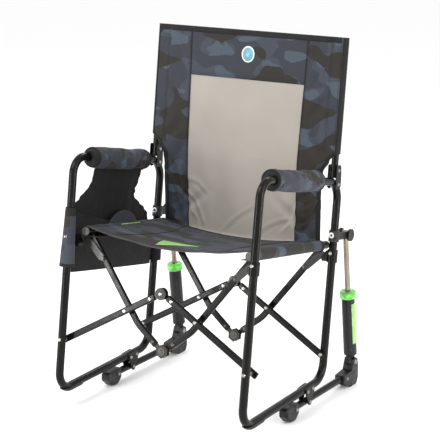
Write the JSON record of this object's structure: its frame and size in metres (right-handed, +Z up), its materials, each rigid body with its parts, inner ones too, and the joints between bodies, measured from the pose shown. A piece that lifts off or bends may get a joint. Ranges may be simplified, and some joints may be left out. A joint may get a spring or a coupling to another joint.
{
  "type": "folding camp rocking chair",
  "caption": "Folding camp rocking chair with a sling seat and tall back, padded arms, a side organiser and sprung base arms that let the steel frame rock and the scissors fold flat.",
  "frame": {"origin": "on the floor under the middle of the whole chair", "axes": "+Z up, -Y is the front, +X is the sitter's left hand side seen from the front on the viewer's right"},
  "size_m": [0.618, 0.6315, 0.9935],
  "materials": {
    "black_powder_coat": "satin",
    "dark_plate_steel": "satin",
    "black_moulded_plastic": "matte",
    "grey_plastic": "matte",
    "bright_rivets": "polished",
    "shock_body": "satin",
    "lime_plastic": "gloss",
    "polished_rod": "polished",
    "camo_cloth": "woven",
    "black_cloth": "woven"
  },
  "bodies": {
    "frame_left": {"side_loop_left": "black_powder_coat", "front_glide_left": "black_moulded_plastic", "arm_pad_left": "camo_cloth", "back_post_left": "black_powder_coat", "post_bracket_left": "black_powder_coat", "leg_brackets_left": "black_powder_coat", "rock_bracket_left": "black_powder_coat", "shock_mount_left": "black_moulded_plastic", "loop_rivets_left": "bright_rivets", "back_cloth": "camo_cloth", "organiser": "black_cloth"},
    "lower_links_left": {"front_cross_link_left": "black_powder_coat", "rear_cross_link_left": "black_powder_coat", "crown_plates_left": "dark_plate_steel", "cross_rivets_left": "bright_rivets"},
    "upper_links_left": {"front_vee_link_left": "black_powder_coat", "rear_vee_link_left": "black_powder_coat", "keel_plates_left": "dark_plate_steel", "rail_plates_left": "dark_plate_steel", "seat_rail_left": "black_powder_coat", "rail_caps_left": "grey_plastic", "vee_rivets_left": "bright_rivets", "seat_cloth": "camo_cloth"},
    "base_left": {"base_arm_left": "black_powder_coat", "front_boot_left": "black_moulded_plastic", "rear_knuckle_left": "black_moulded_plastic", "base_pins_left": "bright_rivets"},
    "rod_left": {"shock_rod_left": "polished_rod"},
    "cylinder_left": {"shock_eye_left": "black_moulded_plastic", "shock_cylinder_left": "shock_body", "shock_collar_left": "lime_plastic"},
    "frame_right": {"side_loop_right": "black_powder_coat", "front_glide_right": "black_moulded_plastic", "arm_pad_right": "camo_cloth", "back_post_right": "black_powder_coat", "post_bracket_right": "black_powder_coat", "leg_brackets_right": "black_powder_coat", "rock_bracket_right": "black_powder_coat", "shock_mount_right": "black_moulded_plastic", "loop_rivets_right": "bright_rivets"},
    "lower_links_right": {"front_cross_link_right": "black_powder_coat", "rear_cross_link_right": "black_powder_coat", "crown_plates_right": "dark_plate_steel", "cross_rivets_right": "bright_rivets"},
    "upper_links_right": {"front_vee_link_right": "black_powder_coat", "rear_vee_link_right": "black_powder_coat", "keel_plates_right": "dark_plate_steel", "rail_plates_right": "dark_plate_steel", "seat_rail_right": "black_powder_coat", "rail_caps_right": "grey_plastic", "vee_rivets_right": "bright_rivets"},
    "base_right": {"base_arm_right": "black_powder_coat", "front_boot_right": "black_moulded_plastic", "rear_knuckle_right": "black_moulded_plastic", "base_pins_right": "bright_rivets"},
    "rod_right": {"shock_rod_right": "polished_rod"},
    "cylinder_right": {"shock_eye_right": "black_moulded_plastic", "shock_cylinder_right": "shock_body", "shock_collar_right": "lime_plastic"}
  },
  "joints": [
    {"name": "fold", "type": "hinge", "parent": "frame_left", "child": "lower_links_left", "pos_m": [-0.286, -0.21197, 0.18478], "axis": [0, -0.989, 0.1478], "range_deg": [0, 49], "deforming": ["seat_cloth", "back_cloth"]},
    {"name": "crown_hinge", "type": "hinge", "parent": "lower_links_left", "child": "lower_links_right", "pos_m": [0, -0.23238, 0.35264], "axis": [0, -0.989, 0.1478], "range_deg": [-98.1, 0]},
    {"name": "leg_hinge_right", "type": "hinge", "parent": "lower_links_right", "child": "frame_right", "pos_m": [0.286, -0.21197, 0.18478], "axis": [0, -0.989, 0.1478], "range_deg": [0, 49.1]},
    {"name": "cross_hinge_left", "type": "hinge", "parent": "lower_links_left", "child": "upper_links_left", "pos_m": [-0.106, -0.22647, 0.29068], "axis": [0, -0.989, 0.1478], "range_deg": [-86.6, 0]},
    {"name": "cross_hinge_right", "type": "hinge", "parent": "lower_links_right", "child": "upper_links_right", "pos_m": [0.106, -0.22647, 0.29068], "axis": [0, -0.989, 0.1478], "range_deg": [0, 86.6]},
    {"name": "rock", "type": "hinge", "parent": "frame_left", "child": "base_left", "pos_m": [-0.286, 0.03075, 0.0295], "axis": [1, 0, 0], "range_deg": [0, 12], "stiffness_Nm_per_rad": 150, "springref_deg": -6.88},
    {"name": "shock_head_left", "type": "hinge", "parent": "frame_left", "child": "rod_left", "pos_m": [-0.286, 0.25175, 0.445], "axis": [1, 0, 0], "range_deg": [-1, 0]},
    {"name": "shock_slide_left", "type": "slide", "parent": "rod_left", "child": "cylinder_left", "axis": [0, -0.1202, 0.9928], "range_m": [0, 0.0565]},
    {"name": "rock_right", "type": "hinge", "parent": "frame_right", "child": "base_right", "pos_m": [0.286, 0.03075, 0.0295], "axis": [1, 0, 0], "range_deg": [0, 12.1], "stiffness_Nm_per_rad": 150, "springref_deg": -6.88},
    {"name": "shock_head_right", "type": "hinge", "parent": "frame_right", "child": "rod_right", "pos_m": [0.286, 0.25175, 0.445], "axis": [1, 0, 0], "range_deg": [-1, 0]},
    {"name": "shock_slide_right", "type": "slide", "parent": "rod_right", "child": "cylinder_right", "axis": [0, -0.1202, 0.9928], "range_m": [0, 0.0565]}
  ],
  "couplings": [
    {"joint": "crown_hinge", "follows": "fold", "ratio": -2},
    {"joint": "leg_hinge_right", "follows": "fold", "ratio": 1},
    {"joint": "cross_hinge_left", "follows": "fold", "ratio": -1.765},
    {"joint": "cross_hinge_right", "follows": "fold", "ratio": 1.765},
    {"joint": "shock_head_left", "follows": "rock", "ratio": -0.0785},
    {"joint": "shock_slide_left", "follows": "rock", "m_per_rad": 0.2673},
    {"joint": "rock_right", "follows": "rock", "ratio": 1},
    {"joint": "shock_head_right", "follows": "rock", "ratio": -0.0785},
    {"joint": "shock_slide_right", "follows": "rock", "m_per_rad": 0.2673}
  ]
}
